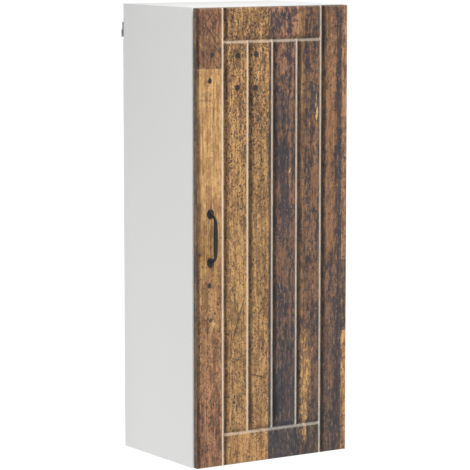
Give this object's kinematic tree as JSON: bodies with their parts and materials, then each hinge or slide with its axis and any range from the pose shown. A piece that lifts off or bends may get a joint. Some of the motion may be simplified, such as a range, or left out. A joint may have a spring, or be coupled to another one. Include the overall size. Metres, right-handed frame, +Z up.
{
  "type": "hanging wall cabinet",
  "caption": "Tall narrow wall cabinet with one planked wood-look door on concealed hinges, a cast arch pull, loose shelves on pins and adjustable wall hangers.",
  "frame": {"origin": "middle of the back panel's rear face, the plane that faces the wall", "axes": "+X to the cabinet's right as its door is faced, +Y into the wall, +Z up"},
  "size_m": [0.395, 0.3446, 1],
  "materials": {
    "white_melamine": "satin",
    "white_hardboard": "matte",
    "old_wood_foil": "satin",
    "black_cast_metal": "satin",
    "zinc_die_cast": "satin",
    "nickel_plate": "satin",
    "zinc_plate": "satin",
    "white_plastic": "matte",
    "clear_silicone": "satin"
  },
  "bodies": {
    "carcass": {"arm_screw_lower": "zinc_plate", "arm_screw_upper": "zinc_plate", "back_panel": "white_hardboard", "bottom_panel": "white_melamine", "cam_bottom_left_front": "zinc_die_cast", "cam_bottom_left_rear": "zinc_die_cast", "cam_bottom_right_front": "zinc_die_cast", "cam_bottom_right_rear": "zinc_die_cast", "cam_top_left_front": "zinc_die_cast", "cam_top_left_rear": "zinc_die_cast", "cam_top_right_front": "zinc_die_cast", "cam_top_right_rear": "zinc_die_cast", "hanger_body_left": "white_plastic", "hanger_body_right": "white_plastic", "hanger_screw_left_1": "zinc_plate", "hanger_screw_left_2": "zinc_plate", "hanger_screw_right_1": "zinc_plate", "hanger_screw_right_2": "zinc_plate", "hinge_arm_lower": "nickel_plate", "hinge_arm_upper": "nickel_plate", "hinge_plate_lower": "nickel_plate", "hinge_plate_upper": "nickel_plate", "plate_screw_lower_1": "zinc_plate", "plate_screw_lower_2": "zinc_plate", "plate_screw_upper_1": "zinc_plate", "plate_screw_upper_2": "zinc_plate", "shelf_lower": "white_melamine", "shelf_pin_lower_left_front": "nickel_plate", "shelf_pin_lower_left_rear": "nickel_plate", "shelf_pin_lower_right_front": "nickel_plate", "shelf_pin_lower_right_rear": "nickel_plate", "shelf_pin_upper_left_front": "nickel_plate", "shelf_pin_upper_left_rear": "nickel_plate", "shelf_pin_upper_right_front": "nickel_plate", "shelf_pin_upper_right_rear": "nickel_plate", "shelf_upper": "white_melamine", "side_left": "white_melamine", "side_right": "white_melamine", "side_screw_lower": "zinc_plate", "side_screw_upper": "zinc_plate", "top_panel": "white_melamine"},
    "door": {"bumper_lower": "clear_silicone", "bumper_upper": "clear_silicone", "cup_screw_lower_1": "zinc_plate", "cup_screw_lower_2": "zinc_plate", "cup_screw_upper_1": "zinc_plate", "cup_screw_upper_2": "zinc_plate", "door_leaf": "old_wood_foil", "handle": "black_cast_metal", "handle_screw_1": "zinc_plate", "handle_screw_2": "zinc_plate", "hinge_cup_lower": "nickel_plate", "hinge_cup_upper": "nickel_plate", "hinge_pin_lower": "zinc_plate", "hinge_pin_upper": "zinc_plate"},
    "hook_left": {"hanger_hook_left": "zinc_plate"},
    "hook_right": {"hanger_hook_right": "zinc_plate"},
    "adjuster_left": {"hanger_adjuster_left": "zinc_plate"},
    "adjuster_right": {"hanger_adjuster_right": "zinc_plate"}
  },
  "joints": [
    {"name": "door_swing", "type": "hinge", "parent": "carcass", "child": "door", "pos_m": [0.1879, -0.3025, 0], "axis": [0, 0, 1], "range_deg": [0, 100]},
    {"name": "adjuster_turn_left", "type": "hinge", "parent": "carcass", "child": "adjuster_left", "pos_m": [-0.1725, -0.049, 0.446], "axis": [0, 1, 0], "range_deg": [-1450, 1450]},
    {"name": "hook_depth_left", "type": "slide", "parent": "carcass", "child": "hook_left", "axis": [0, 1, 0], "range_m": [-0.004, 0.004]},
    {"name": "adjuster_turn_right", "type": "hinge", "parent": "carcass", "child": "adjuster_right", "pos_m": [0.1725, -0.049, 0.446], "axis": [0, 1, 0], "range_deg": [-1450, 1450]},
    {"name": "hook_depth_right", "type": "slide", "parent": "carcass", "child": "hook_right", "axis": [0, 1, 0], "range_m": [-0.004, 0.004]}
  ],
  "couplings": [
    {"joint": "adjuster_turn_left", "follows": "hook_depth_left", "rad_per_m": 6283.2},
    {"joint": "adjuster_turn_right", "follows": "hook_depth_right", "rad_per_m": 6283.2}
  ]
}
